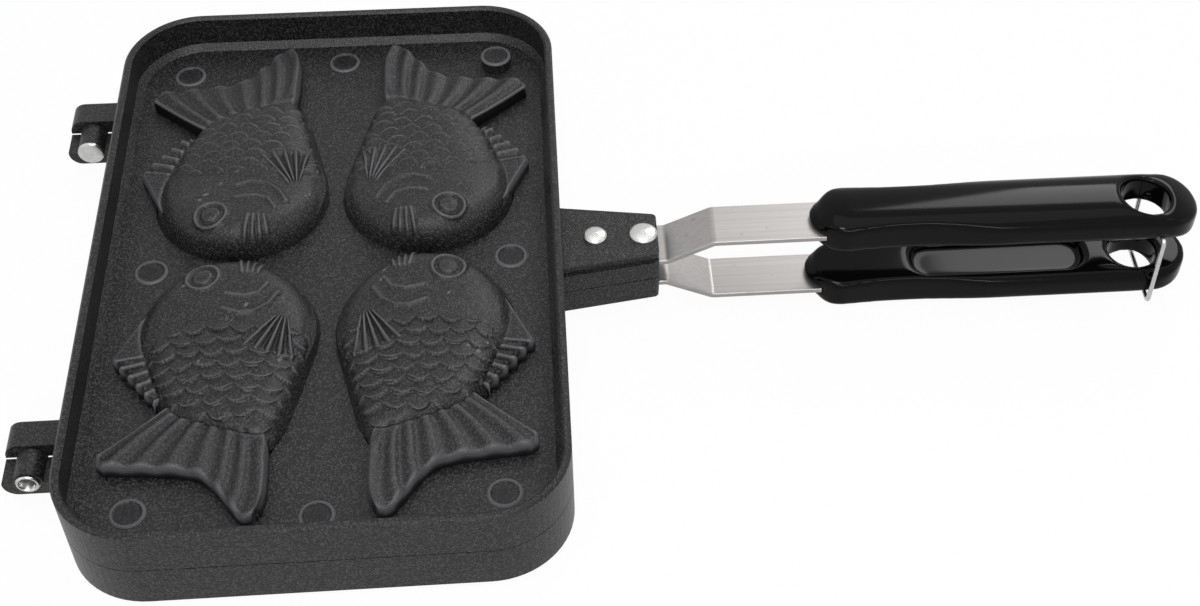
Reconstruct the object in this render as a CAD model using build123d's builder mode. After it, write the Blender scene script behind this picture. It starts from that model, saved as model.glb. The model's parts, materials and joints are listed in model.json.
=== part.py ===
"""Double-sided pan for fish-shaped cakes: two cast halves, hinged on one side, with long handles.

The two castings are alike. The lower one is the upper one turned over about the handle's axis,
so the cooking faces meet on one parting plane. Lengths are in millimetres, X runs along the
handle, Y across it and Z up. The origin is at the middle of the whole object's plan, at the
level of its lowest point.
"""
import math
import os
from build123d import *

# ---- castings ----
pan_width = 170.0  # along the handle
pan_length = 262.0  # across the handle
half_height = 18.2  # parting plane to the outer rim of one casting
corner_radius = 28.8
rim_wall = 3.0
plate_wall = 3.0  # plate between the cooking face and the outer recess
foot_radius = 2.5  # between the plate and the rim wall
rim_round = 0.8
seam_gap = 0.3  # between the closed castings

# ---- fish moulds: u runs out from the middle of the pan, v from the middle towards an end ----
mould_wall = 2.4
mould_draft = 7.0
mould_overlap = 1.0  # into the plate
dome_height = 12.4  # above the plate, at the middle of the dome
back_radius = 90.0  # the fish's back, a barrel along its length
back_slope = 3.5  # degrees, down towards the tail
shoulder_draft = 50.0
shoulder_grow = 5.2  # the shoulder's slope starts this far outside the outline
hollow_draft = 25.0  # one slope on the cooking side
dome_centre = (35.0, 26.0)
head_centre = (35.2, 36.0)
head_radius = 32.2
belly_turn = 14.0  # degrees that the head's arc runs on past the middle, belly side
back_turn = 13.0
tail_root_back = (51.5, 76.0)
tail_root_belly = (17.5, 88.0)
fin_height = 5.4  # tail and back fin above the plate
fin_draft = 12.0
tail_neck = (50.9, 70.1)
tail_tip_back = (73.2, 89.2)
tail_tip_belly = (21.0, 118.0)
tail_fork = (38.5, 96.5)
tail_belly_side = 12.0  # from the belly tip back to the straight side
fin_front = (63.0, 26.0)
fin_tip = (73.0, 46.5)
fin_rear = (57.0, 66.0)

# ---- ejector marks on the plate ----
mark_radius = 6.0
corner_mark = (62.0, 110.0)
boss_height = 4.6

# ---- hinges ----
hinge_reach = 12.5  # pan wall to the hinge axis
hinge_from_end = 49.5  # middle of a hinge from the pan's end
hinge_length = 21.8
knuckle_gap = 0.3
knuckle_height = 6.0
knuckle_tail = 8.8  # past the axis
knuckle_round = 5.0
barrel_radius = 5.0
pin_radius = 2.9
pin_clearance = 0.05
pin_head_radius = 5.0
pin_head_height = 1.6
pin_flare_radius = 4.1
pin_flare_height = 0.9
pin_end_play = 0.1  # at each end

# ---- lug, strap and strap rivets ----
lug_length = 35.7
lug_height = 11.4
lug_root_width = 34.6
lug_end_width = 23.2
lug_step_height = 8.1
lug_step_width = 1.2  # each side
lug_round = 2.0
strap_width = 18.8
strap_thickness = 2.0
strap_low = 6.5  # outer face of the strap above the parting plane, in the lug
strap_high = 15.0  # and in the handle
strap_depth = 28.0  # in the lug
strap_bend_start = 3.0  # past the lug
strap_bend_run = 17.5
strap_bend_radius = 4.0
strap_clearance = 0.1
strap_entry = 6.0  # full width inside the handle
tang_width = 14.0
tang_length = 96.0
rivet_radius = 2.5
rivet_rear = 12.5  # from the pan wall
rivet_front = 30.4
rivet_rear_head = 4.5
rivet_front_head = 5.3
rivet_head_height = 2.2
rivet_clearance = 0.05

# ---- handles ----
handle_start = 177.0  # nose of the handle from the pan's middle
handle_length = 148.0
handle_face = 7.9  # inner face above the parting plane
handle_thickness = 14.7
handle_end_thickness = 12.4  # at the bail
handle_nose_half = 12.3
handle_waist_half = 10.7
handle_flank_half = 12.4  # where the waist's curve turns
handle_palm_half = 13.7
handle_grip_half = 14.0
handle_section_half = 15.0
handle_shoulder = 7.0
nose_length = 14.0
nose_height = 8.0
waist_from_nose = 28.0
flank_from_nose = 47.0
palm_from_nose = 65.0
end_slope = 16.0  # before the bail
collar_length = 3.0
collar_width = 22.6
collar_height = 8.0
collar_rise = 2.0
hang_radius = 9.4
hang_from_end = 20.4
hang_flare = 1.2
pocket_start = 41.0  # from the nose
pocket_length = 67.0
pocket_width = 17.0
pocket_depth = 3.4
pocket_round = 1.2

# ---- wire bail ----
wire_radius = 0.9
bail_from_end = 15.6
bail_pin_height = 2.8  # above the inner face
bail_clearance = 0.35
bail_side = 16.0  # middle of a leg from the handle's axis
bail_bend = 1.2  # cut of each corner
bail_pin_clearance = 0.07
bail_pin_gap = 0.6  # from the hanging hole to the end of a pin

# ---- derived places ----
parting_z = handle_face + handle_thickness
hinge_offset = pan_length / 2 - hinge_from_end
back_x = -pan_width / 2 - hinge_reach - knuckle_tail
end_x = handle_start + handle_length
pan_x = -(back_x + end_x) / 2
parting = Plane(origin=(pan_x, 0, parting_z))
middle = Plane(origin=(pan_x, 0, parting_z), x_dir=(0, 1, 0), z_dir=(1, 0, 0))
side_plane = Plane(origin=(pan_x, 0, parting_z), x_dir=(1, 0, 0), z_dir=(0, -1, 0))
turn_over = Axis((pan_x, 0, parting_z), (1, 0, 0))
plate_top = seam_gap / 2 + plate_wall
hinge_x = -pan_width / 2 - hinge_reach
wall_middle = (pan_width - rim_wall) / 2
crown_z = plate_top + dome_height - back_radius
bail_x = end_x - bail_from_end
end_slope_x = bail_x - end_slope
bail_z = handle_face + bail_pin_height
tail_x = hinge_x - knuckle_tail
lug_end = pan_width / 2 + lug_length
tang_x = handle_start + strap_entry
nose_x = handle_start + nose_length
handle_top = handle_face + handle_thickness
end_top = handle_face + handle_end_thickness
hang_x = end_x - hang_from_end
waist_x = nose_x + waist_from_nose
flank_x = nose_x + flank_from_nose
palm_x = nose_x + palm_from_nose
grip_x = end_x - handle_grip_half
nose_reach = nose_length - collar_length
nose_corner = (nose_x - nose_reach * math.cos(math.pi / 4), handle_nose_half * math.sin(math.pi / 4))
bail_low = -end_top - bail_clearance - wire_radius
bail_inner = hang_radius + bail_pin_gap
end_arc_radius = 2 * handle_face + bail_pin_height + handle_end_thickness
handle_end_height = (end_arc_radius**2 - bail_from_end**2) ** 0.5 - handle_face - bail_pin_height


def lug_outline(inset):
    """Corners of the lug in plan, moved in by inset at its sides."""
    root = lug_root_width / 2 - inset
    tip = lug_end_width / 2 - inset
    return ((wall_middle, -root), (lug_end, -tip), (lug_end, tip), (wall_middle, root))


def fish_shell(grow, foot, slopes):
    """Body, tail and back fin of one fish mould, from foot upwards; grow moves its skin outwards.

    Each slope of the body starts its own distance outside the outline, with its own draft.
    """
    with BuildPart() as shell:
        for widen, draft in slopes:
            mode = Mode.INTERSECT if widen else Mode.ADD
            with BuildSketch(parting.offset(foot)):
                with BuildLine():
                    head = CenterArc(head_centre, head_radius, 180 - belly_turn, 180 + belly_turn + back_turn)
                    Polyline(head @ 1, tail_root_back, tail_root_belly, head @ 0)
                make_face()
                offset(amount=grow + widen, kind=Kind.INTERSECTION)
            extrude(amount=dome_height + plate_top, taper=draft, mode=mode)
        with Locations(parting.offset(crown_z)):
            with Locations(Location((*dome_centre, 0), (90 - back_slope, 0, 0))):
                Cylinder(back_radius + grow, 2 * pan_length, mode=Mode.INTERSECT)
        with BuildSketch(parting.offset(foot)):
            with BuildLine():
                Polyline(
                    tail_neck,
                    tail_tip_back,
                    (tail_tip_back[0] - 2.5, tail_tip_back[1] + 4),
                    tail_fork,
                    (tail_tip_belly[0] + 3.5, tail_tip_belly[1] - 2.5),
                    tail_tip_belly,
                    (tail_root_belly[0], tail_tip_belly[1] - tail_belly_side),
                    tail_root_belly,
                    dome_centre,
                    close=True,
                )
            make_face()
            offset(amount=grow, kind=Kind.INTERSECTION)
        with BuildSketch(parting.offset(foot)):
            with BuildLine():
                Polyline(dome_centre, fin_front, fin_tip, fin_rear, dome_centre)
            make_face()
            offset(amount=grow, kind=Kind.INTERSECTION)
        extrude(amount=plate_top + fin_height + grow - foot, taper=fin_draft)
    return shell.part


mould_slopes = ((0, mould_draft), (shoulder_grow, shoulder_draft))
mould_fish = fish_shell(0, plate_top - mould_overlap, mould_slopes)
mould_hollow = fish_shell(-mould_wall, -mould_overlap, ((0, hollow_draft),))


def four_ways(shape):
    """The shape and its mirror images in the other three quarters of the pan."""
    pair = [shape, mirror(shape, about=middle)]
    return pair + [mirror(each, about=Plane.XZ) for each in pair]


# ---- upper casting ----
with BuildPart() as upper_pan:
    with BuildSketch(parting.offset(seam_gap / 2)):
        RectangleRounded(pan_width, pan_length, corner_radius)
    extrude(amount=half_height - seam_gap / 2)
    with BuildSketch(parting.offset(half_height)):
        RectangleRounded(pan_width - 2 * rim_wall, pan_length - 2 * rim_wall, corner_radius - rim_wall)
    extrude(amount=plate_top - half_height, mode=Mode.SUBTRACT)
    chamfer(upper_pan.edges().group_by(Axis.Z)[-1], length=rim_round)
    recess_floor = upper_pan.faces().filter_by(Axis.Z).group_by(Axis.Z)[1]
    chamfer(recess_floor.edges(), length=foot_radius)

    # ejector boss near the handle
    with BuildSketch(parting.offset(plate_top)):
        with Locations(corner_mark):
            Circle(mark_radius)
    extrude(amount=boss_height)

    # hinge knuckles: each takes the half of its hinge that lies towards the far end
    for hinge_middle in (-hinge_offset, hinge_offset):
        with BuildSketch(side_plane.offset(-hinge_middle - knuckle_gap / 2)):
            with BuildLine():
                floor_line = Line((-pan_width / 2 + rim_wall / 2, seam_gap / 2), (tail_x, seam_gap / 2))
                rise = Line(floor_line @ 1, (tail_x, knuckle_height - knuckle_round))
                bend = RadiusArc(rise @ 1, (tail_x + knuckle_round, knuckle_height), knuckle_round)
                Polyline(bend @ 1, (-pan_width / 2 + rim_wall / 2, knuckle_height), floor_line @ 0)
            make_face()
            with Locations((hinge_x, 0)):
                Circle(barrel_radius)
        extrude(amount=-(hinge_length - knuckle_gap) / 2)
    with Locations(Plane(origin=(pan_x + hinge_x, 0, parting_z), z_dir=(0, 1, 0))):
        Hole(pin_radius + pin_clearance)

    # lug for the strap
    for inset, height in ((0, lug_step_height), (lug_step_width, lug_height)):
        with BuildSketch(parting.offset(seam_gap / 2)) as lug_plan:
            with BuildLine():
                Polyline(*lug_outline(inset), close=True)
            make_face()
            fillet(lug_plan.vertices().group_by(Axis.X)[-1], radius=lug_round)
        extrude(amount=height - seam_gap / 2)
    with BuildSketch(middle.offset(lug_end)):
        with Locations((0, strap_low - strap_thickness / 2)):
            Rectangle(strap_width + 2 * strap_clearance, strap_thickness + 2 * strap_clearance)
    extrude(amount=-strap_depth - strap_clearance, mode=Mode.SUBTRACT)
    with Locations(parting.offset(lug_height)):
        with Locations((pan_width / 2 + rivet_rear, 0), (pan_width / 2 + rivet_front, 0)):
            Hole(rivet_radius + rivet_clearance)

    # fish moulds
    add(four_ways(mould_fish))
    add(four_ways(mould_hollow), mode=Mode.SUBTRACT)

# ---- upper strap ----
with BuildPart() as upper_strap:
    with BuildSketch(side_plane):
        with BuildLine():
            FilletPolyline(
                (lug_end - strap_depth, strap_low - strap_thickness / 2),
                (lug_end + strap_bend_start, strap_low - strap_thickness / 2),
                (lug_end + strap_bend_start + strap_bend_run, strap_high - strap_thickness / 2),
                (handle_start + tang_length, strap_high - strap_thickness / 2),
                radius=strap_bend_radius,
            )
        trace(line_width=strap_thickness)
    extrude(amount=strap_width / 2, both=True)
    with BuildSketch(parting):
        with Locations((tang_x, 0)):
            Rectangle(2 * tang_length, strap_width)
            Rectangle(2 * tang_length, tang_width, mode=Mode.SUBTRACT)
            Rectangle(2 * tang_length, 2 * strap_width, align=(Align.MAX, Align.CENTER), mode=Mode.SUBTRACT)
    extrude(amount=2 * strap_high, mode=Mode.SUBTRACT)
    with Locations(parting.offset(strap_low)):
        with Locations((pan_width / 2 + rivet_rear, 0), (pan_width / 2 + rivet_front, 0)):
            Hole(rivet_radius + rivet_clearance)

# ---- upper handle ----
with BuildPart() as upper_handle:
    with BuildSketch(parting.offset(handle_face)):
        with BuildLine():
            nose = ThreePointArc((handle_start + collar_length, 0), nose_corner, (nose_x, handle_nose_half))
            waist = ThreePointArc(nose @ 1, (waist_x, handle_waist_half), (flank_x, handle_flank_half))
            palm = TangentArc(waist @ 1, (palm_x, handle_palm_half), tangent=waist % 1)
            Line(palm @ 1, (grip_x, handle_grip_half))
            CenterArc((grip_x, 0), handle_grip_half, 0, 90)
            mirror(about=Plane.XZ)
        make_face()
    extrude(amount=handle_thickness)
    with BuildSketch(side_plane.offset(-pan_width / 2)):
        with BuildLine():
            back = Polyline(
                (end_x, handle_end_height),
                (end_x, handle_face),
                (handle_start, handle_face),
                (handle_start, handle_face + nose_height),
            )
            rise = TangentArc((nose_x, handle_top), back @ 1, tangent=(-1, 0))
            flat = Line(rise @ 0, (end_slope_x, handle_top))
            slope = TangentArc(flat @ 1, (bail_x, end_top), tangent=(1, 0))
            RadiusArc(slope @ 1, (end_x, handle_end_height), end_arc_radius)
        make_face()
    extrude(amount=pan_width, mode=Mode.INTERSECT)
    with BuildSketch(middle.offset(handle_start)) as handle_section:
        with Locations((0, handle_face)):
            Rectangle(2 * handle_section_half, handle_thickness, align=(Align.CENTER, Align.MIN))
        fillet(handle_section.vertices().group_by(Axis.Z)[-1], radius=handle_shoulder)
    extrude(amount=handle_length, mode=Mode.INTERSECT)

    # stepped collar round the strap
    with BuildSketch(parting.offset(handle_face + collar_rise)):
        with Locations((nose_x, 0)):
            Ellipse(nose_length, collar_width / 2)
    extrude(amount=collar_height)

    # hanging hole, pocket, holes for the bail and slot for the strap
    with Locations(parting.offset(handle_top)):
        with Locations((hang_x, 0)):
            CounterSinkHole(hang_radius, hang_radius + hang_flare, counter_sink_angle=90)
    with BuildSketch(parting.offset(handle_face)):
        with Locations((handle_start + pocket_start + pocket_length / 2, 0)):
            RectangleRounded(pocket_length, pocket_width, pocket_width / 2 - pocket_round)
    extrude(amount=pocket_depth, mode=Mode.SUBTRACT)
    with Locations(Plane(origin=(pan_x + bail_x, 0, parting_z + bail_z), z_dir=(0, 1, 0))):
        Hole(wire_radius + bail_pin_clearance)
    with BuildSketch(middle.offset(handle_start)):
        with Locations((0, strap_high - strap_thickness / 2)):
            Rectangle(tang_width + 2 * strap_clearance, strap_thickness + 2 * strap_clearance)
    extrude(amount=tang_length + strap_clearance, mode=Mode.SUBTRACT)
    with BuildSketch(middle.offset(handle_start)):
        with Locations((0, strap_high - strap_thickness / 2)):
            Rectangle(strap_width + 2 * strap_clearance, strap_thickness + 2 * strap_clearance)
    extrude(amount=strap_entry + strap_clearance, mode=Mode.SUBTRACT)


def headed_pin(head, head_height, shank, reach):
    """Pin along Z with its head above the origin and its shank below."""
    with BuildPart() as pin:
        with BuildSketch():
            Circle(head)
        extrude(amount=head_height)
        with BuildSketch():
            Circle(shank)
        extrude(amount=-reach)
    return pin


def strap_rivet(from_wall, head):
    """Rivet through lug and strap, its foot closed flush with the lug's underside."""
    pin = headed_pin(head, rivet_head_height, rivet_radius, lug_height - seam_gap / 2)
    return Location((pan_x + pan_width / 2 + from_wall, 0, parting_z + lug_height)) * pin.part


def hinge_pin(toward):
    """Rivet of one hinge: head on its inner side, flared end on the side towards the pan's end."""
    inner = toward * (hinge_offset - hinge_length / 2 - pin_end_play)
    with BuildPart() as pin:
        add(headed_pin(pin_head_radius, pin_head_height, pin_radius, hinge_length + 2 * pin_end_play))
        with BuildSketch(Plane.XY.offset(-hinge_length - 2 * pin_end_play)):
            Circle(pin_flare_radius)
        extrude(amount=-pin_flare_height)
    return Plane(origin=(pan_x + hinge_x, inner, parting_z), z_dir=(0, -toward, 0)).location * pin.part


# ---- wire bail ----
with BuildPart() as wire_bail:
    with BuildLine(middle.offset(bail_x)) as route:
        Polyline(
            (-bail_inner, bail_z),
            (-bail_side + bail_bend, bail_z),
            (-bail_side, bail_z - bail_bend),
            (-bail_side, bail_low + bail_bend),
            (-bail_side + bail_bend, bail_low),
            (bail_side - bail_bend, bail_low),
            (bail_side, bail_low + bail_bend),
            (bail_side, bail_z - bail_bend),
            (bail_side - bail_bend, bail_z),
            (bail_inner, bail_z),
        )
    with BuildSketch(Plane(origin=route.line @ 0, z_dir=route.line % 0)):
        Circle(wire_radius)
    sweep(transition=Transition.RIGHT)

pieces = {
    "upper_pan": upper_pan.part,
    "upper_strap": upper_strap.part,
    "upper_front_rivet": strap_rivet(rivet_front, rivet_front_head),
    "upper_rear_rivet": strap_rivet(rivet_rear, rivet_rear_head),
    "upper_handle": upper_handle.part,
}
for name in list(pieces):
    pieces[name.replace("upper", "lower")] = pieces[name].rotate(turn_over, 180)
pieces["near_hinge_pin"] = hinge_pin(-1)
pieces["far_hinge_pin"] = hinge_pin(1)
pieces["wire_bail"] = wire_bail.part

os.makedirs("parts", exist_ok=True)
for name, piece in pieces.items():
    piece.label = name
    export_step(piece, f"parts/{name}.step")
    print(name, round(piece.volume), piece.is_valid)
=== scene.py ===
"""Looks of a double-sided fish cake pan, laid out as an add-on.

The CAD parts are the fixed frame. Each operator dresses one piece, or one group of like pieces,
and the last one builds the stage. Lengths are metres in the frame's own axes: X along the
handles, Y across the pan, Z up.
"""

import json
import math

import bmesh
import bpy
import numpy as np
from mathutils import Matrix, Vector


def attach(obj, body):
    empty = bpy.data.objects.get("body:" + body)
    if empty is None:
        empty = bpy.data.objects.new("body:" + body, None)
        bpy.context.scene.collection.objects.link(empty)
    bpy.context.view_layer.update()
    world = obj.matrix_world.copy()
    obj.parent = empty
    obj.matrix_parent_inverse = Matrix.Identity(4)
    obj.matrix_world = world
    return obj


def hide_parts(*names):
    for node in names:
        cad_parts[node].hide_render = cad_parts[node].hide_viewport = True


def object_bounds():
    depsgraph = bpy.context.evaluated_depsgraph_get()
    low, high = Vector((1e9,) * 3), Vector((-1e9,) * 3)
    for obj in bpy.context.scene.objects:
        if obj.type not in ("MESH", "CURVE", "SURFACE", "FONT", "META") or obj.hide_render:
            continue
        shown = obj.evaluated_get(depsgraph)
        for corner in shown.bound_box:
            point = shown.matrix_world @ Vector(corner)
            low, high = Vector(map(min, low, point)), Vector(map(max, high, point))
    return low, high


bl_info = {
    "name": "Fish Cake Pan",
    "version": (1, 0, 0),
    "blender": (4, 5, 0),
    "location": "3D View > Sidebar > Cake Pan",
    "description": "Dresses a hinged double fish cake pan with its coat, moulds, handles and stage",
    "category": "Object",
}

MM = 0.001
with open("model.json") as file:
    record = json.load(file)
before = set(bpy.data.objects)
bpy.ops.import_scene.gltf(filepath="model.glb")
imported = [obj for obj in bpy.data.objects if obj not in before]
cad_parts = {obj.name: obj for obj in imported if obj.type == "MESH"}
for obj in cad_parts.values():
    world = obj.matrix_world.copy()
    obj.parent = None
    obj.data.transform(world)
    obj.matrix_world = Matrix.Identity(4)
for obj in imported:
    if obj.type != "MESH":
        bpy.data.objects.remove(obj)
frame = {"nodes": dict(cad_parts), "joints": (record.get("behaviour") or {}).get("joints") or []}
cad_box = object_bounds()
joints = {joint["name"]: joint for joint in frame["joints"]}

# ---- places from the frame ----
HINGE = Vector(joints["lid_hinge"]["pos_m"])
BAIL_PIN = Vector(joints["bail_swing"]["pos_m"])
HINGE_REACH = 97.5 * MM  # hinge axis to the pan's middle
PAN = Vector((HINGE.x + HINGE_REACH, 0, HINGE.z))
HALF_HEIGHT = 18.2 * MM

# ---- the fish, in millimetres: u runs out from the pan's middle, v towards its end, w from parting ----
PLATE_TOP = 3.15  # outer face of the plate
SKIN = 0.5  # the detailed skin stands this far outside the casting
SKIN_DEPTH = 1.2  # thickness of the detailed skin, less than the casting's wall
DOME_HEIGHT = 12.4
DOME_CENTRE = (35.0, 26.0)
BACK_RADIUS = 90.0
BACK_SLOPE = math.radians(3.5)
HEAD_CENTRE = (35.2, 36.0)
HEAD_RADIUS = 32.2
HEAD_ARC = (166.0, 373.0)  # degrees
BODY_REAR = ((51.5, 76.0), (17.5, 88.0))
BODY_MIDDLE = (35.0, 40.0)
SIDE_BULGE = (1.2, 0.0, 2.4)  # of the back, rear and belly sides
EDGE_ROUND = 20.0  # width of the rounded shoulder
FIN_HEIGHT = 5.4
EASE = 2.2  # rounding where the body's sides meet
EYE = (43.8, 16.0)
BOSS_TOP = PLATE_TOP + 4.6
MARKS = (  # ejector marks and the top of the boss
    (62, 110, BOSS_TOP),
    (-62, 110, PLATE_TOP),
    (62, -110, PLATE_TOP),
    (-62, -110, PLATE_TOP),
    (66, 0, PLATE_TOP),
    (-66, 0, PLATE_TOP),
    (0, 115, PLATE_TOP),
    (0, -115, PLATE_TOP),
)

# ---- fittings, in millimetres ----
LUG_TOP = 11.4
RIVETS = {"front": (115.4, 5.3), "rear": (97.5, 4.5)}  # place along the handle and head radius
PIN_START = 70.5  # inner end of a hinge rivet from the middle
PIN_REACH = 22.0
WIRE = 0.9
HANDLE_FACE = 7.9  # inner face of a handle from the parting plane
HANDLE_THICKNESS = 14.7
HANDLE_HALF = 14.0
CROWN = 2.6  # how far the outer face falls from its middle to its sides
WIRE_ROUTE = ((10.0, 10.7), (12.5, 10.7), (16.0, 10.7), (16.0, 6.5), (16.0, -17.5), (16.0, -21.55), (11.5, -21.55))


class PanLook(bpy.types.PropertyGroup):
    """Sizes and colours of the castings."""

    coat_colour: bpy.props.FloatVectorProperty(
        name="Coat colour",
        description="Colour of the non-stick coat",
        subtype="COLOR",
        size=4,
        default=(0.0055, 0.0052, 0.0057, 1),
    )
    fleck_colour: bpy.props.FloatVectorProperty(
        name="Fleck colour",
        description="Colour of the fine flecks in the coat",
        subtype="COLOR",
        size=4,
        default=(0.058, 0.0555, 0.06, 1),
    )
    # Painted highlight: this colour is laid on the ridges of carved pieces to make their edges look lit.
    ridge_highlight_colour: bpy.props.FloatVectorProperty(
        name="Edge colour",
        description="Colour of the coat along ridges",
        subtype="COLOR",
        size=4,
        default=(0.13, 0.125, 0.133, 1),
    )
    coat_roughness: bpy.props.FloatProperty(
        name="Coat roughness", description="Gloss of the coat", subtype="FACTOR", default=0.4
    )
    fleck_size: bpy.props.FloatProperty(
        name="Fleck size", description="Size of a fleck", unit="LENGTH", default=0.75 * MM
    )


class FittingsLook(bpy.types.PropertyGroup):
    """Colours of handles, straps, rivets and wire."""

    handle_colour: bpy.props.FloatVectorProperty(
        name="Handle colour",
        description="Colour of the moulded handles",
        subtype="COLOR",
        size=4,
        default=(0.0025, 0.0024, 0.0027, 1),
    )
    handle_roughness: bpy.props.FloatProperty(
        name="Handle roughness", description="Gloss of the handles", subtype="FACTOR", default=0.09
    )
    strap_colour: bpy.props.FloatVectorProperty(
        name="Strap colour",
        description="Colour of the steel straps",
        subtype="COLOR",
        size=4,
        default=(0.36, 0.348, 0.34, 1),
    )
    rivet_colour: bpy.props.FloatVectorProperty(
        name="Rivet colour",
        description="Colour of the aluminium rivets",
        subtype="COLOR",
        size=4,
        default=(0.62, 0.62, 0.615, 1),
    )


class StageLook(bpy.types.PropertyGroup):
    """Floor, lamps and camera."""

    focal_length: bpy.props.FloatProperty(
        name="Focal length", description="Camera lens in millimetres", default=56.95
    )
    camera_turn: bpy.props.FloatProperty(
        name="Turn", description="Heading of the camera", subtype="ANGLE", default=math.radians(5.98)
    )
    camera_dip: bpy.props.FloatProperty(
        name="Dip", description="Camera's angle below the horizon", subtype="ANGLE", default=math.radians(47.28)
    )
    camera_roll: bpy.props.FloatProperty(
        name="Roll", description="Camera's roll", subtype="ANGLE", default=math.radians(1.64)
    )
    key_power: bpy.props.FloatProperty(
        name="Overhead power", description="Power of the overhead lamp", subtype="POWER", default=3.9
    )
    front_power: bpy.props.FloatProperty(
        name="Front power", description="Power of the small lamp over the camera", subtype="POWER", default=7.5
    )
    strip_power: bpy.props.FloatProperty(
        name="Strip power", description="Power of the two small lamps that shine on the handles", subtype="POWER", default=4.2
    )
    floor_white: bpy.props.FloatProperty(
        name="Floor white", description="Share of plain white in the floor", subtype="FACTOR", default=0.96
    )
    fill_power: bpy.props.FloatProperty(
        name="Fill power", description="Power of the side lamps", subtype="POWER", default=1.5
    )


# ---- shared mesh helpers ----
def new_piece(name, shape, body, material, crease=180):
    """Object at the origin with the bmesh's shape, riding on a body; edges past crease degrees stay sharp."""
    bmesh.ops.recalc_face_normals(shape, faces=shape.faces)
    mesh = bpy.data.meshes.new(name)
    shape.to_mesh(mesh)
    shape.free()
    piece = bpy.data.objects.new(name, mesh)
    bpy.context.scene.collection.objects.link(piece)
    mesh.materials.append(material)
    mesh.shade_smooth()
    mesh.set_sharp_from_angle(angle=math.radians(crease))
    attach(piece, body)
    return piece


def set_places(verts, u, v, w):
    """Moves vertices to pan millimetres."""
    for vert, x, y, z in zip(verts, u, v, w):
        vert.co = (PAN.x + x * MM, y * MM, PAN.z + z * MM)


def grid_of(shape, columns, rows):
    """Grid in the bmesh; gives its vertices and their two shares from 0 to 1."""
    made = bmesh.ops.create_grid(shape, x_segments=columns, y_segments=rows, size=0.5)["verts"]
    share = np.array([vert.co[:2] for vert in made]) + 0.5
    return made, share[:, 0], share[:, 1]


def spun(profile, steps=64):
    """Closed solid of revolution about Z from its half profile of (radius, height) in millimetres."""
    shape = bmesh.new()
    verts = [shape.verts.new((radius * MM, 0, height * MM)) for radius, height in profile]
    edges = [shape.edges.new(pair) for pair in zip(verts, verts[1:])]
    bmesh.ops.spin(
        shape, geom=verts + edges, cent=(0, 0, 0), axis=(0, 0, 1), angle=math.tau, steps=steps, use_merge=True
    )
    bmesh.ops.remove_doubles(shape, verts=shape.verts, dist=1e-7)
    ring = shape.verts.layers.float.new("ring")
    for vert in shape.verts:
        vert[ring] = math.hypot(vert.co.x, vert.co.y) / MM
    return shape


def domed(radius, height, brim, points=9):
    """Half profile of a domed head, from its top down to its brim."""
    turns = [index / points * math.pi / 2 for index in range(points + 1)]
    return [(radius * math.sin(turn), brim + (height - brim) * math.cos(turn)) for turn in turns]


def stand(shape, origin, direction):
    """Moves a shape that stands on Z to an origin, along a direction."""
    turn = Vector((0, 0, 1)).rotation_difference(Vector(direction)).to_matrix()
    bmesh.ops.rotate(shape, verts=shape.verts, cent=(0, 0, 0), matrix=turn)
    bmesh.ops.translate(shape, verts=shape.verts, vec=origin)
    return shape


def joined_copy(name):
    """Copy of a CAD node's mesh with its triangles joined up."""
    shape = bmesh.new()
    shape.from_mesh(frame["nodes"][name].data)
    bmesh.ops.remove_doubles(shape, verts=shape.verts, dist=1e-6)
    return shape


def moulded_copy(name, side):
    """Handle of a CAD node on an even fine mesh, its outer face crowned from side to side."""
    shape = joined_copy(name)
    mesh = bpy.data.meshes.new("rough moulding")
    shape.to_mesh(mesh)
    shape.free()
    rough = bpy.data.objects.new("rough moulding", mesh)
    bpy.context.scene.collection.objects.link(rough)
    even = rough.modifiers.new("Even mesh", "REMESH")
    even.mode = "VOXEL"
    even.voxel_size = 0.55 * MM
    done = bpy.data.meshes.new_from_object(rough.evaluated_get(bpy.context.evaluated_depsgraph_get()))
    shape = bmesh.new()
    shape.from_mesh(done)
    bpy.data.objects.remove(rough)
    bpy.data.meshes.remove(mesh)
    bpy.data.meshes.remove(done)
    for vert in shape.verts:
        height = side * (vert.co.z - PAN.z) / MM
        lift = min(max((height - HANDLE_FACE) / HANDLE_THICKNESS, 0), 1) ** 2
        vert.co.z -= side * CROWN * MM * lift * (vert.co.y / MM / HANDLE_HALF) ** 2
    return shape


def eased_copy(name, body, material, width):
    """Stands in for a CAD node with the same shape, its sharp edges slightly rounded."""
    shape = joined_copy(name)
    piece = new_piece(f"eased_{name}", shape, body, material, 14)
    bevel = piece.modifiers.new("Rounded edges", "BEVEL")
    bevel.width = width
    bevel.segments = 2
    bevel.limit_method = "ANGLE"
    bevel.angle_limit = math.radians(32)
    weighted = piece.modifiers.new("Even shading", "WEIGHTED_NORMAL")
    weighted.keep_sharp = True
    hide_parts(name)
    return piece


def drawn(points, u, v):
    """Distance of each place to a line through the points."""
    nearest = np.full(u.shape, 1e3)
    for (u0, v0), (u1, v1) in zip(points, points[1:]):
        du, dv = u1 - u0, v1 - v0
        share = np.clip(((u - u0) * du + (v - v0) * dv) / (du * du + dv * dv), 0, 1)
        nearest = np.minimum(nearest, np.hypot(u - u0 - share * du, v - v0 - share * dv))
    return nearest


def ridge(points, u, v, width, height):
    """Soft ridge along a drawn line."""
    return height * np.exp(-((drawn(points, u, v) / width) ** 2))


def step_to(value, low, high):
    """Smooth step from 0 at low to 1 at high."""
    share = np.clip((value - low) / (high - low), 0, 1)
    return share * share * (3 - 2 * share)


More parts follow.
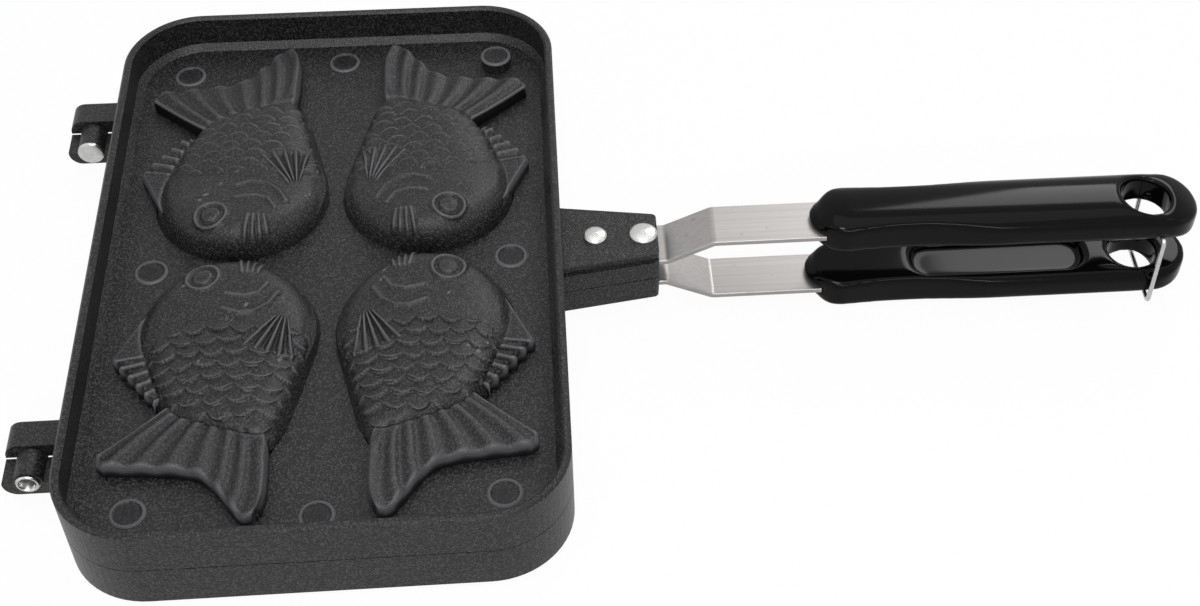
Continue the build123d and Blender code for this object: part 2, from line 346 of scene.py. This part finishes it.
# ---- the fish ----
def body_edges():
    """Outward normals and reaches of the straight edges that together bound the body."""
    turns = np.radians(np.linspace(*HEAD_ARC, 60))
    normals = np.stack([np.cos(turns), np.sin(turns)], axis=1)
    reaches = normals @ np.array(HEAD_CENTRE) + HEAD_RADIUS
    start, end = (np.array(HEAD_CENTRE) + HEAD_RADIUS * normals[index] for index in (0, -1))
    sides = [range(len(normals))]
    corners = [end, *map(np.array, BODY_REAR), start]
    for first, second, bulge in zip(corners, corners[1:], SIDE_BULGE):
        across = np.array((second[1] - first[1], first[0] - second[0]))
        across /= np.linalg.norm(across)
        begun = len(normals)
        for share in np.linspace(-1, 1, 14):
            point = (first + second) / 2 + share * (second - first) / 2 + across * bulge * (1 - share**2)
            run = (second - first) / 2 - 2 * bulge * share * across
            normal = np.array((run[1], -run[0])) / np.linalg.norm(run)
            normals = np.vstack([normals, normal])
            reaches = np.append(reaches, normal @ point)
        sides.append(range(begun, len(normals)))
    return normals, reaches + SKIN, sides


EDGES = body_edges()


def body_depth(u, v):
    """Distance in from the body's outline, eased where its sides meet."""
    normals, reaches, sides = EDGES
    low, high = np.radians(HEAD_ARC)
    out_u, out_v = u - HEAD_CENTRE[0], v - HEAD_CENTRE[1]
    middle = (low + high) / 2
    turn = middle + (np.arctan2(out_v, out_u) - middle + math.pi) % math.tau - math.pi
    turn = np.clip(turn, low, high)
    head = HEAD_RADIUS + SKIN - out_u * np.cos(turn) - out_v * np.sin(turn)
    back, rear, belly = (
        np.min([reaches[index] - normals[index, 0] * u - normals[index, 1] * v for index in side], axis=0)
        for side in sides[1:]
    )
    depths = (np.minimum(head, belly), back, rear)
    return -EASE * np.log(sum(np.exp(-depth / EASE) for depth in depths))


def body_height(u, v):
    """Smooth height of the domed body above the plate."""
    crown = DOME_HEIGHT + SKIN - (v - DOME_CENTRE[1]) * math.tan(BACK_SLOPE)
    crown -= (u - DOME_CENTRE[0]) ** 2 / (2 * BACK_RADIUS)
    return crown * (1 - (1 - np.clip(body_depth(u, v) / EDGE_ROUND, 0, 1)) ** 5) ** 0.625


def scales(u, v):
    """Height from 0 to 1 of overlapping scales whose free edges point to the tail."""
    row_pitch, column_pitch, half_width, half_length = 5.2, 8.2, 4.8, 5.6
    height = np.zeros(u.shape)
    for row in range(18, 5, -1):
        sway = 0.5 * np.sin(u * 0.31 + row * 1.7)
        centre_v = row * row_pitch + sway
        shift = column_pitch / 2 * (row % 2) + 1.1 * math.sin(row * 2.3)
        from_centre = (u - shift + column_pitch / 2) % column_pitch - column_pitch / 2
        inside = (from_centre / half_width) ** 2 + ((v - centre_v) / half_length) ** 2 < 1
        tile = (0.5 + 0.5 * (v - centre_v) / half_length) ** 2 - 0.15 * (from_centre / half_width) ** 2
        height = np.where(inside, tile, height)
    return height


def pectoral_fin(u, v):
    """Fan of rays on the belly side."""
    root, heading, half_spread, length = (13.5, 29.5), math.radians(75), math.radians(24), 22.5
    away = np.hypot(u - root[0], v - root[1])
    turn = np.arctan2(v - root[1], u - root[0]) - heading
    rays = np.cos(turn / half_spread * 5 * math.pi / 1.1)
    reach = length + 1.2 * rays
    mask = step_to(half_spread - np.abs(turn), 0, 0.06) * step_to(reach - away, 0, 1.0) * step_to(away, 2.5, 7.0)
    return mask, 0.45 + 0.55 * rays


def body_relief(u, v):
    """Carving of the head and the scaled flank."""
    fin, rays = pectoral_fin(u, v)
    gill = [(17, 23.5), (20, 29), (25, 32.8), (30, 33.4), (35.5, 31.4)]
    cheek = [(20.8, 19.5), (23.6, 24), (28.5, 25.6), (35, 24.6)]
    brow = [(45, 28.4), (49.5, 27.6), (53.6, 23.2)]
    flank = step_to(v - 35.5 - 0.16 * np.abs(u - 28), 0, 3) * step_to(94 - v, 0, 3)
    relief = 1.45 * scales(u, v) * flank * (1 - fin)
    relief += fin * rays * 1.3
    relief += ridge(gill, u, v, 1.1, 0.9) + ridge(cheek, u, v, 0.9, 0.75) + ridge(brow, u, v, 2.2, 0.4)
    from_eye = np.hypot(u - EYE[0], v - EYE[1])
    relief += 0.95 * np.exp(-(((from_eye - 5.8) / 0.8) ** 2)) - 0.45 * np.exp(-(((from_eye - 4.3) / 0.6) ** 2))
    relief += 1.0 * np.sqrt(np.clip(1 - (from_eye / 3.6) ** 2, 0, 1))
    for lip in range(4):
        rib = [(21.5 + 3.6 * lip, 0), (23.2 + 2.6 * lip, 8), (24.5 + 1.8 * lip, 14.5)]
        relief += ridge(rib, u, v, 0.8, 1.1)
    return relief


def add_body(shape, place):
    """Domed body with its carving, closed below by a skin that stays in the casting's wall."""
    rings, spokes = 110, 380
    verts, turn, out = grid_of(shape, spokes, rings)
    normals, reaches, _ = EDGES
    turn = turn * math.tau
    heading = np.stack([np.cos(turn), np.sin(turn)], axis=1)
    facing = heading @ normals.T
    room = reaches - normals @ np.array(BODY_MIDDLE)
    radius = np.min(np.where(facing > 1e-6, room / np.maximum(facing, 1e-6), 1e3), axis=1)
    degrees = np.degrees(turn)
    for lip in range(5):
        radius += 0.75 * np.exp(-(((degrees - 247.5 - 5.6 * lip) / 1.3) ** 2))
    radius = radius * (1 - (1 - out) ** 1.6)
    u = BODY_MIDDLE[0] + radius * heading[:, 0]
    v = BODY_MIDDLE[1] + radius * heading[:, 1]
    height = np.where(out > 0.9999, 0, body_height(u, v))
    reach = 0.3
    rise_u = (body_height(u + reach, v) - body_height(u - reach, v)) / (2 * reach)
    rise_v = (body_height(u, v + reach) - body_height(u, v - reach)) / (2 * reach)
    raised = body_relief(u, v) * step_to(body_depth(u, v), 0.8, 4.2) / np.sqrt(1 + rise_u**2 + rise_v**2)
    raised = np.where(out > 0.9999, 0, raised)
    place(verts, u - rise_u * raised, v - rise_v * raised, PLATE_TOP + height + raised)
    bmesh.ops.remove_doubles(shape, verts=verts, dist=1e-6)
    under = bmesh.ops.extrude_face_region(shape, geom=list(shape.faces))["geom"]
    for item in under:
        if isinstance(item, bmesh.types.BMVert):
            item.co.z -= math.copysign(SKIN_DEPTH * MM, item.co.z - PAN.z)


def add_slab(shape, place, columns, rows, outline, top):
    """Raised fin: a grid at the height top(s, t) over outline(s, t), with walls down into the plate."""
    verts, across, out = grid_of(shape, columns, rows)
    u, v = outline(across, out)
    buried = step_to(body_depth(u, v), 1.5, 3.5)
    level = blend_between(top(across, out), body_height(u, v) - SKIN, buried)
    border = (np.abs(across - 0.5) > 0.499) | (np.abs(out - 0.5) > 0.499)
    place(verts, u, v, PLATE_TOP + level)
    faces = list({face for vert in verts for face in vert.link_faces})
    floor = bmesh.ops.extrude_face_region(shape, geom=faces)["geom"]
    sunk = [item for item in floor if isinstance(item, bmesh.types.BMVert)]
    under = np.where(border & (buried < 0.01), -0.4, level - SKIN_DEPTH)
    place(sunk, u, v, PLATE_TOP + under)
    return sunk


def blend_between(first, second, share):
    """Point between two points, or arrays of them."""
    return first + (second - first) * share


def tail_outline(across, out):
    """Tail fan: from its root in the body to its hollow trailing edge."""
    weight, back, fork, belly = 4.0, np.array((71.6, 94.4)), np.array((38.4, 97.0)), np.array((25.4, 116.8))
    steps = np.linspace(0, 1, 40)[:, None]
    amounts = [(1 - steps) ** 2, 2 * weight * steps * (1 - steps), steps**2]
    hollow = sum(amount * point for amount, point in zip(amounts, (back, fork, belly))) / sum(amounts)
    edge = np.vstack([[(73.7, 89.0), (74.0, 92.2)], hollow, [(23.0, 118.5), (20.6, 118.2), (19.2, 115.5)]])
    run = np.append(0, np.cumsum(np.linalg.norm(np.diff(edge, axis=0), axis=1)))
    end_u, end_v = (np.interp(across * run[-1], run, edge[:, axis]) for axis in (0, 1))
    bulge = -2.6 * across**4 * (1 - (2 * out - 1) ** 4)
    u = blend_between(blend_between(46.5, 19.5, across), end_u, out) + bulge
    v = blend_between(blend_between(65.4, 82.0, across), end_v, out)
    return u, v


def tail_top(across, out):
    """Seven rays that spread to the trailing edge."""
    rays = np.cos((across * 7.5 + 0.25 * np.sin(out * 2.5 + across * 3)) * math.tau)
    rim = np.minimum(np.minimum(across, 1 - across) * 60, (1 - out) * 32)
    edge = 1 - np.sqrt(1 - (1 - np.clip(rim / 1.6, 0, 1)) ** 2)
    return FIN_HEIGHT + 0.75 + 0.65 * rays * step_to(out, 0.1, 0.35) - 1.5 * edge + 1.2 * (1 - out) ** 2


def back_fin_outline(across, out):
    """Back fin with its serrated rear edge."""
    share = [0, 0.5, 1]
    tooth = 0.55 * np.cos((across - 0.52) * 2 * 5 * math.tau) * step_to(across, 0.5, 0.56)
    u = blend_between(np.interp(across, share, [57, 58, 51]), np.interp(across, share, [63.4, 73.9, 57.4]) + tooth, out)
    v = blend_between(np.interp(across, share, [28, 44, 62]), np.interp(across, share, [24.6, 46.6, 67.2]) + tooth, out)
    return u, v


def back_fin_top(across, out):
    """Five ribs across the rear edge of the back fin."""
    ribs = np.cos((across - 0.52) * 2 * 5 * math.tau) * step_to(across, 0.5, 0.56)
    rim = np.minimum(np.minimum(across, 1 - across) * 45, (1 - out) * 14)
    edge = 1 - np.sqrt(1 - (1 - np.clip(rim / 1.5, 0, 1)) ** 2)
    return FIN_HEIGHT + 0.5 + 1.0 * ribs - 1.4 * edge


def fish_shape(side_u, side_v, side_w):
    """One fish in its quarter of one casting."""

    def place(verts, u, v, w):
        set_places(verts, side_u * u, side_v * v, side_w * w)

    whole = bmesh.new()
    for adder in (
        lambda shape: add_body(shape, place),
        lambda shape: add_slab(shape, place, 84, 40, tail_outline, tail_top),
        lambda shape: add_slab(shape, place, 90, 22, back_fin_outline, back_fin_top),
    ):
        part = bmesh.new()
        adder(part)
        mesh = bpy.data.meshes.new("fish part")
        part.to_mesh(mesh)
        part.free()
        whole.from_mesh(mesh)
        bpy.data.meshes.remove(mesh)
    return whole


# ---- shared node helpers ----
def add_node(tree, kind, **values):
    """New node with its properties set."""
    node = tree.nodes.new(kind)
    for key, value in values.items():
        setattr(node, key, value)
    return node


def link(tree, source, target):
    """Joins an output to an input."""
    tree.links.new(source, target)


def new_material(name):
    """Material with one Principled shader; gives the material, its tree and that shader."""
    material = bpy.data.materials.new(name)
    material.use_nodes = True
    tree = material.node_tree
    return material, tree, tree.nodes["Principled BSDF"]


def speckle_group():
    """Flecks and pebbled height of a sprayed coat."""
    name = "Sprayed Coat"
    if name in bpy.data.node_groups:
        return bpy.data.node_groups[name]
    group = bpy.data.node_groups.new(name, "ShaderNodeTree")
    group.interface.new_socket("Fleck Scale", in_out="INPUT", socket_type="NodeSocketFloat")
    group.interface.new_socket("Flecks", in_out="OUTPUT", socket_type="NodeSocketFloat")
    group.interface.new_socket("Height", in_out="OUTPUT", socket_type="NodeSocketFloat")
    start = add_node(group, "NodeGroupInput")
    end = add_node(group, "NodeGroupOutput")
    place = add_node(group, "ShaderNodeTexCoord")
    fine = add_node(group, "ShaderNodeTexNoise")
    fine.inputs["Detail"].default_value = 1
    fine.inputs["Roughness"].default_value = 0.75
    link(group, place.outputs["Object"], fine.inputs["Vector"])
    link(group, start.outputs["Fleck Scale"], fine.inputs["Scale"])
    pick = add_node(group, "ShaderNodeMapRange")
    pick.inputs["From Min"].default_value = 0.46
    pick.inputs["From Max"].default_value = 0.74
    link(group, fine.outputs["Fac"], pick.inputs["Value"])
    link(group, pick.outputs["Result"], end.inputs["Flecks"])
    link(group, fine.outputs["Fac"], end.inputs["Height"])
    return group


def coat_material(name, carved=False):
    """Dark speckled non-stick coat; on a carved piece ridges get a painted highlight and grooves get painted shade."""
    if name in bpy.data.materials:
        return bpy.data.materials[name]
    look = bpy.context.scene.cake_pan
    material, tree, shader = new_material(name)
    coat = add_node(tree, "ShaderNodeGroup", node_tree=speckle_group())
    coat.inputs["Fleck Scale"].default_value = 1 / look.fleck_size
    mix = add_node(tree, "ShaderNodeMix", data_type="RGBA")
    mix.inputs["A"].default_value = look.coat_colour
    mix.inputs["B"].default_value = look.fleck_colour
    link(tree, coat.outputs["Flecks"], mix.inputs["Factor"])
    # Painted light: pointiness mixes ridges towards a painted highlight colour and scales grooves darker as painted
    # shade.
    if carved:
        relief = add_node(tree, "ShaderNodeNewGeometry")
        raised = add_node(tree, "ShaderNodeMapRange")
        raised.inputs["From Min"].default_value = 0.505
        raised.inputs["From Max"].default_value = 0.57
        raised.inputs["To Max"].default_value = 0.85
        link(tree, relief.outputs["Pointiness"], raised.inputs["Value"])
        # Coat mixed towards the painted ridge highlight.
        ridge_highlight_mix = add_node(tree, "ShaderNodeMix", data_type="RGBA")
        ridge_highlight_mix.inputs["B"].default_value = look.ridge_highlight_colour
        link(tree, raised.outputs["Result"], ridge_highlight_mix.inputs["Factor"])
        link(tree, mix.outputs["Result"], ridge_highlight_mix.inputs["A"])
        sunk = add_node(tree, "ShaderNodeMapRange")
        sunk.inputs["From Min"].default_value = 0.44
        sunk.inputs["From Max"].default_value = 0.5
        sunk.inputs["To Min"].default_value = 0.15
        link(tree, relief.outputs["Pointiness"], sunk.inputs["Value"])
        # Painted shade: grooves are scaled darker.
        shaded = add_node(tree, "ShaderNodeVectorMath", operation="SCALE")
        link(tree, ridge_highlight_mix.outputs["Result"], shaded.inputs[0])
        link(tree, sunk.outputs["Result"], shaded.inputs["Scale"])
        link(tree, shaded.outputs["Vector"], shader.inputs["Base Color"])
    else:
        link(tree, mix.outputs["Result"], shader.inputs["Base Color"])
    bump = add_node(tree, "ShaderNodeBump")
    bump.inputs["Strength"].default_value = 0.7
    bump.inputs["Distance"].default_value = 0.3 * MM
    link(tree, coat.outputs["Height"], bump.inputs["Height"])
    link(tree, bump.outputs["Normal"], shader.inputs["Normal"])
    shader.inputs["Roughness"].default_value = look.coat_roughness
    shader.inputs["Specular IOR Level"].default_value = 0.26
    return material


def plastic_material():
    """Glossy black moulding."""
    look = bpy.context.scene.cake_fittings
    material, tree, shader = new_material("handle_moulding")
    shader.inputs["Base Color"].default_value = look.handle_colour
    place = add_node(tree, "ShaderNodeTexCoord")
    haze = add_node(tree, "ShaderNodeTexNoise")
    haze.inputs["Scale"].default_value = 60
    haze.inputs["Detail"].default_value = 4
    link(tree, place.outputs["Object"], haze.inputs["Vector"])
    spread = add_node(tree, "ShaderNodeMapRange")
    spread.inputs["To Min"].default_value = look.handle_roughness * 0.7
    spread.inputs["To Max"].default_value = look.handle_roughness * 1.5
    link(tree, haze.outputs["Fac"], spread.inputs["Value"])
    link(tree, spread.outputs["Result"], shader.inputs["Roughness"])
    shader.inputs["Specular IOR Level"].default_value = 0.09
    return material


def strap_material():
    """Satin steel strip with fine lengthwise lines."""
    look = bpy.context.scene.cake_fittings
    material, tree, shader = new_material("strap_steel")
    place = add_node(tree, "ShaderNodeTexCoord")
    turn = add_node(tree, "ShaderNodeMapping")
    turn.inputs["Scale"].default_value = (12, 900, 900)
    link(tree, place.outputs["Object"], turn.inputs["Vector"])
    lines = add_node(tree, "ShaderNodeTexNoise")
    lines.inputs["Scale"].default_value = 1
    lines.inputs["Detail"].default_value = 3
    link(tree, turn.outputs["Vector"], lines.inputs["Vector"])
    shade = add_node(tree, "ShaderNodeMix", data_type="RGBA")
    shade.inputs["A"].default_value = look.strap_colour
    shade.inputs["B"].default_value = [0.72 * part for part in look.strap_colour[:3]] + [1]
    link(tree, lines.outputs["Fac"], shade.inputs["Factor"])
    smudge = add_node(tree, "ShaderNodeTexNoise")
    smudge.inputs["Scale"].default_value = 260
    smudge.inputs["Detail"].default_value = 5
    link(tree, place.outputs["Object"], smudge.inputs["Vector"])
    stain = add_node(tree, "ShaderNodeMapRange")
    stain.inputs["From Min"].default_value = 0.66
    stain.inputs["From Max"].default_value = 0.82
    link(tree, smudge.outputs["Fac"], stain.inputs["Value"])
    dirt = add_node(tree, "ShaderNodeMix", data_type="RGBA")
    dirt.inputs["B"].default_value = (0.22, 0.19, 0.17, 1)
    link(tree, stain.outputs["Result"], dirt.inputs["Factor"])
    link(tree, shade.outputs["Result"], dirt.inputs["A"])
    link(tree, dirt.outputs["Result"], shader.inputs["Base Color"])
    shader.inputs["Metallic"].default_value = 1
    shader.inputs["Roughness"].default_value = 0.42
    return material


def rivet_material():
    """Bright aluminium with light scuffs."""
    look = bpy.context.scene.cake_fittings
    material, tree, shader = new_material("rivet_aluminium")
    place = add_node(tree, "ShaderNodeTexCoord")
    scuff = add_node(tree, "ShaderNodeTexNoise")
    scuff.inputs["Scale"].default_value = 700
    scuff.inputs["Detail"].default_value = 4
    link(tree, place.outputs["Object"], scuff.inputs["Vector"])
    spread = add_node(tree, "ShaderNodeMapRange")
    spread.inputs["To Min"].default_value = 0.16
    spread.inputs["To Max"].default_value = 0.42
    link(tree, scuff.outputs["Fac"], spread.inputs["Value"])
    link(tree, spread.outputs["Result"], shader.inputs["Roughness"])
    ring = add_node(tree, "ShaderNodeAttribute", attribute_name="ring")
    turns = add_node(tree, "ShaderNodeMath", operation="MULTIPLY")
    turns.inputs[1].default_value = 9
    link(tree, ring.outputs["Fac"], turns.inputs[0])
    wave = add_node(tree, "ShaderNodeMath", operation="SINE")
    link(tree, turns.outputs["Value"], wave.inputs[0])
    bump = add_node(tree, "ShaderNodeBump")
    bump.inputs["Strength"].default_value = 0.35
    bump.inputs["Distance"].default_value = 0.05 * MM
    link(tree, wave.outputs["Value"], bump.inputs["Height"])
    link(tree, bump.outputs["Normal"], shader.inputs["Normal"])
    shade = add_node(tree, "ShaderNodeMix", data_type="RGBA")
    shade.inputs["A"].default_value = look.rivet_colour
    shade.inputs["B"].default_value = [0.6 * part for part in look.rivet_colour[:3]] + [1]
    link(tree, scuff.outputs["Fac"], shade.inputs["Factor"])
    link(tree, shade.outputs["Result"], shader.inputs["Base Color"])
    shader.inputs["Metallic"].default_value = 1
    return material


class CAKEPAN_OT_castings(bpy.types.Operator):
    """Coats both castings"""

    bl_idname = "cakepan.castings"
    bl_label = "Coat castings"

    def execute(self, context):
        coat = coat_material("nonstick_coat")
        carved = coat_material("coat_with_painted_relief_light", carved=True)
        mark = [(0, 0.12), (4.4, 0.12), (4.9, 0.55), (5.6, 0.55), (6.1, 0.1), (6.1, -0.3), (0, -0.3)]
        for half, side in (("upper", 1), ("lower", -1)):
            eased_copy(f"{half}_pan", f"{half}_half", coat, 0.15 * MM)
            for index, (u, v, w) in enumerate(MARKS):
                place = PAN + Vector((u, side * v, side * w)) * MM
                disc = stand(spun(mark), place, (0, 0, side))
                # The ejector marks take the coat with a painted highlight on ridges and painted shade in grooves.
                new_piece(f"{half}_mark_{index + 1}", disc, f"{half}_half", carved, 30)
        return {"FINISHED"}


class CAKEPAN_OT_fish(bpy.types.Operator):
    """Carves the eight fish on the outer faces"""

    bl_idname = "cakepan.fish"
    bl_label = "Carve fish"

    def execute(self, context):
        # The fish take the coat with a painted highlight on ridges and painted shade in grooves.
        coat = coat_material("coat_with_painted_relief_light", carved=True)
        for half, side_w in (("upper", 1), ("lower", -1)):
            for row, side_v in (("near", -1), ("far", 1)):
                for column, side_u in (("hinge", -1), ("handle", 1)):
                    shape = fish_shape(side_u, side_v, side_w)
                    new_piece(f"{half}_{row}_{column}_fish", shape, f"{half}_half", coat)
        return {"FINISHED"}


class CAKEPAN_OT_fittings(bpy.types.Operator):
    """Finishes handles, straps, rivets and wire"""

    bl_idname = "cakepan.fittings"
    bl_label = "Finish fittings"

    def execute(self, context):
        plastic = plastic_material()
        steel = strap_material()
        bright = rivet_material()
        for half, side in (("upper", 1), ("lower", -1)):
            body = f"{half}_half"
            grip = new_piece(f"{half}_grip", moulded_copy(f"{half}_handle", side), body, plastic)
            polish = grip.modifiers.new("Polish", "SMOOTH")
            polish.factor = 0.5
            polish.iterations = 55
            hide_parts(f"{half}_handle")
            eased_copy(f"{half}_strap", body, steel, 0.3 * MM)
            for name, (along, radius) in RIVETS.items():
                head = domed(radius, 2.2, 0.5) + [(radius, 0), (2.5, 0), (2.5, -LUG_TOP + 0.15), (0, -LUG_TOP + 0.15)]
                place = PAN + Vector((along, 0, side * LUG_TOP)) * MM
                rivet = new_piece(f"{half}_{name}_button", stand(spun(head), place, (0, 0, side)), body, bright, 40)
                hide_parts(f"{half}_{name}_rivet")
        for end, side in (("near", -1), ("far", 1)):
            flare = [(2.9, -PIN_REACH), (3.8, -PIN_REACH), (4.1, -PIN_REACH - 0.4), (3.7, -PIN_REACH - 0.85)]
            bore = [(3.2, -PIN_REACH - 0.8), (2.6, -PIN_REACH - 0.1), (2.3, -PIN_REACH + 4), (0, -PIN_REACH + 4.3)]
            profile = domed(5.0, 1.6, 0.6) + [(5.0, 0), (2.9, 0)] + flare + bore
            place = (HINGE.x, side * PIN_START * MM, HINGE.z)
            pin = stand(spun(profile), place, (0, -side, 0))
            pin = new_piece(f"{end}_hinge_rivet", pin, "lower_half", bright, 40)
            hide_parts(f"{end}_hinge_pin")
        self.bend_wire(bright)
        return {"FINISHED"}

    def bend_wire(self, material):
        """Wire bail on one smooth line, its two ends in the handle's pin holes."""
        half = [(side, height) for side, height in WIRE_ROUTE]
        route = half + [(-side, height) for side, height in reversed(half)]
        data = bpy.data.curves.new("bail_wire", "CURVE")
        data.dimensions = "3D"
        data.bevel_depth = WIRE * MM
        data.bevel_resolution = 5
        data.use_fill_caps = True
        spline = data.splines.new("NURBS")
        spline.points.add(len(route) - 1)
        for point, (side, height) in zip(spline.points, route):
            point.co = (BAIL_PIN.x, side * MM, PAN.z + height * MM, 1)
        spline.order_u = 3
        spline.use_endpoint_u = True
        spline.resolution_u = 12
        wire = bpy.data.objects.new("bail_wire", data)
        bpy.context.scene.collection.objects.link(wire)
        data.materials.append(material)
        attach(wire, "bail")
        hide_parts("wire_bail")


def area_lamp(name, place, aim, size, power):
    """Soft rectangular lamp at place, turned to aim."""
    data = bpy.data.lights.new(name, "AREA")
    data.shape = "RECTANGLE"
    data.size, data.size_y = size
    data.energy = power
    lamp = bpy.data.objects.new(name, data)
    bpy.context.scene.collection.objects.link(lamp)
    lamp.location = place
    lamp.rotation_euler = (Vector(aim) - Vector(place)).to_track_quat("-Z", "Y").to_euler()
    return lamp


def white_to_camera(tree):
    """Gives 1 for camera, glossy and transmission rays."""
    rays = add_node(tree, "ShaderNodeLightPath")
    either = add_node(tree, "ShaderNodeMath", operation="MAXIMUM")
    any_ray = add_node(tree, "ShaderNodeMath", operation="MAXIMUM")
    link(tree, rays.outputs["Is Camera Ray"], either.inputs[0])
    link(tree, rays.outputs["Is Glossy Ray"], either.inputs[1])
    link(tree, either.outputs["Value"], any_ray.inputs[0])
    link(tree, rays.outputs["Is Transmission Ray"], any_ray.inputs[1])
    return any_ray.outputs["Value"]


class CAKEPAN_OT_stage(bpy.types.Operator):
    """Floor, lamps, world and camera"""

    bl_idname = "cakepan.stage"
    bl_label = "Build stage"

    def execute(self, context):
        look = context.scene.cake_stage
        middle = (cad_box[0] + cad_box[1]) / 2

        ground = bmesh.new()
        bmesh.ops.create_grid(ground, x_segments=1, y_segments=1, size=6)
        tilt = math.atan2(PAN.z - HALF_HEIGHT, 2 * abs(PAN.x))
        bmesh.ops.rotate(ground, verts=ground.verts, cent=(0, 0, 0), matrix=Matrix.Rotation(tilt, 3, "Y"))
        bmesh.ops.translate(ground, verts=ground.verts, vec=(0, 0, cad_box[0].z))
        mesh = bpy.data.meshes.new("floor")
        ground.to_mesh(mesh)
        ground.free()
        floor = bpy.data.objects.new("floor", mesh)
        context.scene.collection.objects.link(floor)
        material, tree, shader = new_material("floor_white")
        shader.inputs["Base Color"].default_value = (0.9, 0.9, 0.9, 1)
        shader.inputs["Roughness"].default_value = 0.9
        glow = add_node(tree, "ShaderNodeEmission")
        share = add_node(tree, "ShaderNodeMath", operation="MULTIPLY")
        share.inputs[1].default_value = look.floor_white
        link(tree, white_to_camera(tree), share.inputs[0])
        pale = add_node(tree, "ShaderNodeMixShader")
        link(tree, share.outputs["Value"], pale.inputs["Fac"])
        link(tree, shader.outputs["BSDF"], pale.inputs[1])
        link(tree, glow.outputs["Emission"], pale.inputs[2])
        link(tree, pale.outputs["Shader"], tree.nodes["Material Output"].inputs["Surface"])
        mesh.materials.append(material)

        area_lamp("overhead", (0.05, 0.1, 1.3), middle, (1.4, 0.9), look.key_power)
        area_lamp("front_softbox", (-0.1, -0.6, 1.2), PAN, (0.35, 0.35), look.front_power)
        area_lamp("low_strip", (0.1, -1.15, 0.8), middle, (0.7, 0.07), look.strip_power)
        area_lamp("handle_softbox", (0.62, 1.0, 1.05), (0.2, 0, 0.04), (0.4, 0.7), 1.6 * look.strip_power)
        area_lamp("left_fill", (-1.2, -0.5, 0.7), middle, (0.8, 0.8), look.fill_power)
        area_lamp("right_fill", (1.3, -0.3, 0.8), middle, (0.8, 0.8), look.fill_power)

        world = bpy.data.worlds.new("white_studio")
        context.scene.world = world
        world.use_nodes = True
        tree = world.node_tree
        ground_light = tree.nodes["Background"]
        ground_light.inputs["Color"].default_value = (1, 1, 1, 1)
        ground_light.inputs["Strength"].default_value = 0.14
        seen = add_node(tree, "ShaderNodeBackground")
        seen.inputs["Color"].default_value = (1, 1, 1, 1)
        seen.inputs["Strength"].default_value = 1
        blend = add_node(tree, "ShaderNodeMixShader")
        link(tree, white_to_camera(tree), blend.inputs["Fac"])
        link(tree, ground_light.outputs["Background"], blend.inputs[1])
        link(tree, seen.outputs["Background"], blend.inputs[2])
        link(tree, blend.outputs["Shader"], tree.nodes["World Output"].inputs["Surface"])

        camera_data = bpy.data.cameras.new("camera")
        camera = bpy.data.objects.new("camera", camera_data)
        context.scene.collection.objects.link(camera)
        camera_data.sensor_width = 36
        camera_data.lens = look.focal_length
        camera_data.shift_x = -0.0775
        camera_data.shift_y = -0.003
        camera.location = PAN + Vector((0.0828, -0.4955, 0.5322 - HALF_HEIGHT - 0.05 * MM))
        heading = Matrix.Rotation(-look.camera_turn, 4, "Z")
        dip = Matrix.Rotation(math.pi / 2 - look.camera_dip, 4, "X")
        roll = Matrix.Rotation(look.camera_roll, 4, "Z")
        camera.rotation_euler = (heading @ dip @ roll).to_euler()
        context.scene.camera = camera
        context.scene.view_settings.view_transform = "Standard"
        return {"FINISHED"}


class CAKEPAN_PT_sidebar(bpy.types.Panel):
    """Lists the steps that dress the pan"""

    bl_label = "Cake Pan"
    bl_idname = "CAKEPAN_PT_sidebar"
    bl_space_type = "VIEW_3D"
    bl_region_type = "UI"
    bl_category = "Cake Pan"

    def draw(self, context):
        for step in STEPS:
            self.layout.operator(step.bl_idname)


STEPS = (CAKEPAN_OT_castings, CAKEPAN_OT_fish, CAKEPAN_OT_fittings, CAKEPAN_OT_stage)
LOOKS = {"cake_pan": PanLook, "cake_fittings": FittingsLook, "cake_stage": StageLook}


def register():
    """Adds the classes and the scene's look settings."""
    for item in (*LOOKS.values(), *STEPS, CAKEPAN_PT_sidebar):
        bpy.utils.register_class(item)
    for name, look in LOOKS.items():
        setattr(bpy.types.Scene, name, bpy.props.PointerProperty(type=look))


def unregister():
    """Removes them again."""
    for name in LOOKS:
        delattr(bpy.types.Scene, name)
    for item in (CAKEPAN_PT_sidebar, *reversed(STEPS), *reversed(LOOKS.values())):
        bpy.utils.unregister_class(item)


def main():
    """Runs every step in order."""
    register()
    for step in STEPS:
        group, name = step.bl_idname.split(".")
        getattr(getattr(bpy.ops, group), name)()


if __name__ == "__main__":
    main()
